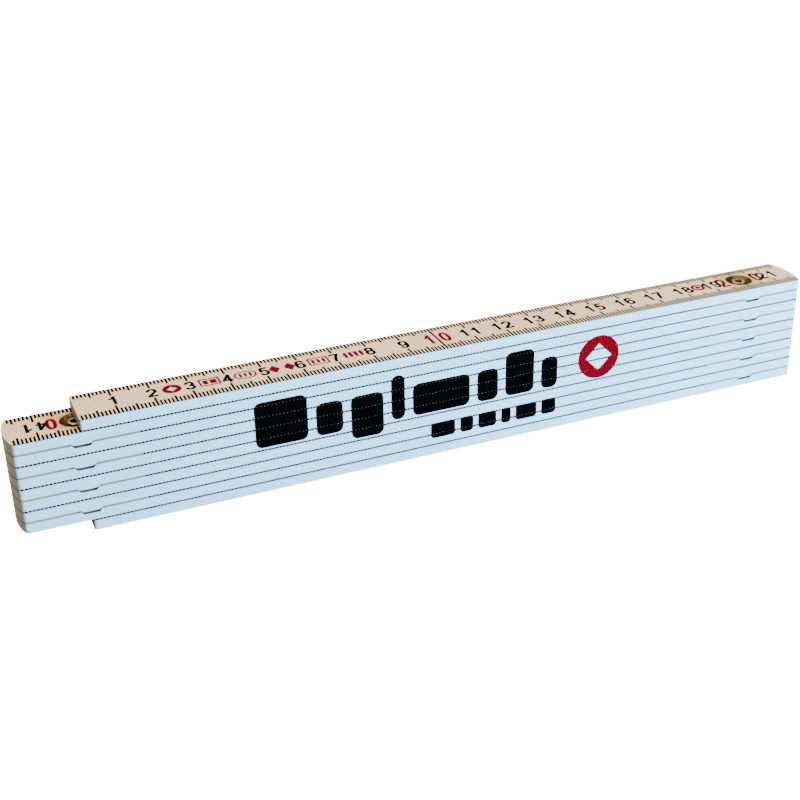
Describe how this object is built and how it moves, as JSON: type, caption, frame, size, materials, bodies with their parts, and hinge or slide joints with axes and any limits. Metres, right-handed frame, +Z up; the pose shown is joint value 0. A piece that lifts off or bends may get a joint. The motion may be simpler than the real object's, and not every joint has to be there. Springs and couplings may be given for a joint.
{
  "type": "folding rule",
  "caption": "Plastic folding rule folded into a flat stack of riveted limbs, printed with a centimetre and millimetre scale on both faces.",
  "frame": {"origin": "middle of the folded rule's length and width, on the face it lies on", "axes": "+X along the folded rule, from the zero end of the top limb towards the first joint; +Y across the limbs; +Z up, from the bottom limb to the top one"},
  "size_m": [0.2364, 0.015, 0.0317],
  "materials": {
    "limb_plastic": "satin",
    "joint_brass": "dull, darkened",
    "black_ink": "printed ink",
    "red_ink": "printed ink"
  },
  "bodies": {
    "section_01": {"limb_01": "limb_plastic", "rivet_01": "joint_brass", "upper_disc_spring_01": "joint_brass"},
    "section_02": {"limb_02": "limb_plastic", "rivet_02": "joint_brass", "upper_disc_spring_02": "joint_brass", "lower_disc_spring_01": "joint_brass"},
    "section_03": {"limb_03": "limb_plastic", "rivet_03": "joint_brass", "upper_disc_spring_03": "joint_brass", "lower_disc_spring_02": "joint_brass"},
    "section_04": {"limb_04": "limb_plastic", "rivet_04": "joint_brass", "upper_disc_spring_04": "joint_brass", "lower_disc_spring_03": "joint_brass"},
    "section_05": {"limb_05": "limb_plastic", "rivet_05": "joint_brass", "upper_disc_spring_05": "joint_brass", "lower_disc_spring_04": "joint_brass"},
    "section_06": {"limb_06": "limb_plastic", "rivet_06": "joint_brass", "upper_disc_spring_06": "joint_brass", "lower_disc_spring_05": "joint_brass"},
    "section_07": {"limb_07": "limb_plastic", "rivet_07": "joint_brass", "upper_disc_spring_07": "joint_brass", "lower_disc_spring_06": "joint_brass"},
    "section_08": {"limb_08": "limb_plastic", "rivet_08": "joint_brass", "upper_disc_spring_08": "joint_brass", "lower_disc_spring_07": "joint_brass"},
    "section_09": {"limb_09": "limb_plastic", "rivet_09": "joint_brass", "upper_disc_spring_09": "joint_brass", "lower_disc_spring_08": "joint_brass"},
    "section_10": {"limb_10": "limb_plastic", "lower_disc_spring_09": "joint_brass"}
  },
  "joints": [
    {"name": "fold_09", "type": "hinge", "parent": "section_10", "child": "section_09", "pos_m": [0.1, 0, 0.00305], "axis": [0, 0, 1], "range_deg": [-180, 180]},
    {"name": "fold_08", "type": "hinge", "parent": "section_09", "child": "section_08", "pos_m": [-0.1, 0, 0.00625], "axis": [0, 0, 1], "range_deg": [-180, 180]},
    {"name": "fold_07", "type": "hinge", "parent": "section_08", "child": "section_07", "pos_m": [0.1, 0, 0.00945], "axis": [0, 0, 1], "range_deg": [-180, 180]},
    {"name": "fold_06", "type": "hinge", "parent": "section_07", "child": "section_06", "pos_m": [-0.1, 0, 0.01265], "axis": [0, 0, 1], "range_deg": [-180, 180]},
    {"name": "fold_05", "type": "hinge", "parent": "section_06", "child": "section_05", "pos_m": [0.1, 0, 0.01585], "axis": [0, 0, 1], "range_deg": [-180, 180]},
    {"name": "fold_04", "type": "hinge", "parent": "section_05", "child": "section_04", "pos_m": [-0.1, 0, 0.01905], "axis": [0, 0, 1], "range_deg": [-180, 180]},
    {"name": "fold_03", "type": "hinge", "parent": "section_04", "child": "section_03", "pos_m": [0.1, 0, 0.02225], "axis": [0, 0, 1], "range_deg": [-180, 180]},
    {"name": "fold_02", "type": "hinge", "parent": "section_03", "child": "section_02", "pos_m": [-0.1, 0, 0.02545], "axis": [0, 0, 1], "range_deg": [-180, 180]},
    {"name": "fold_01", "type": "hinge", "parent": "section_02", "child": "section_01", "pos_m": [0.1, 0, 0.02865], "axis": [0, 0, 1], "range_deg": [-180, 180]}
  ]
}
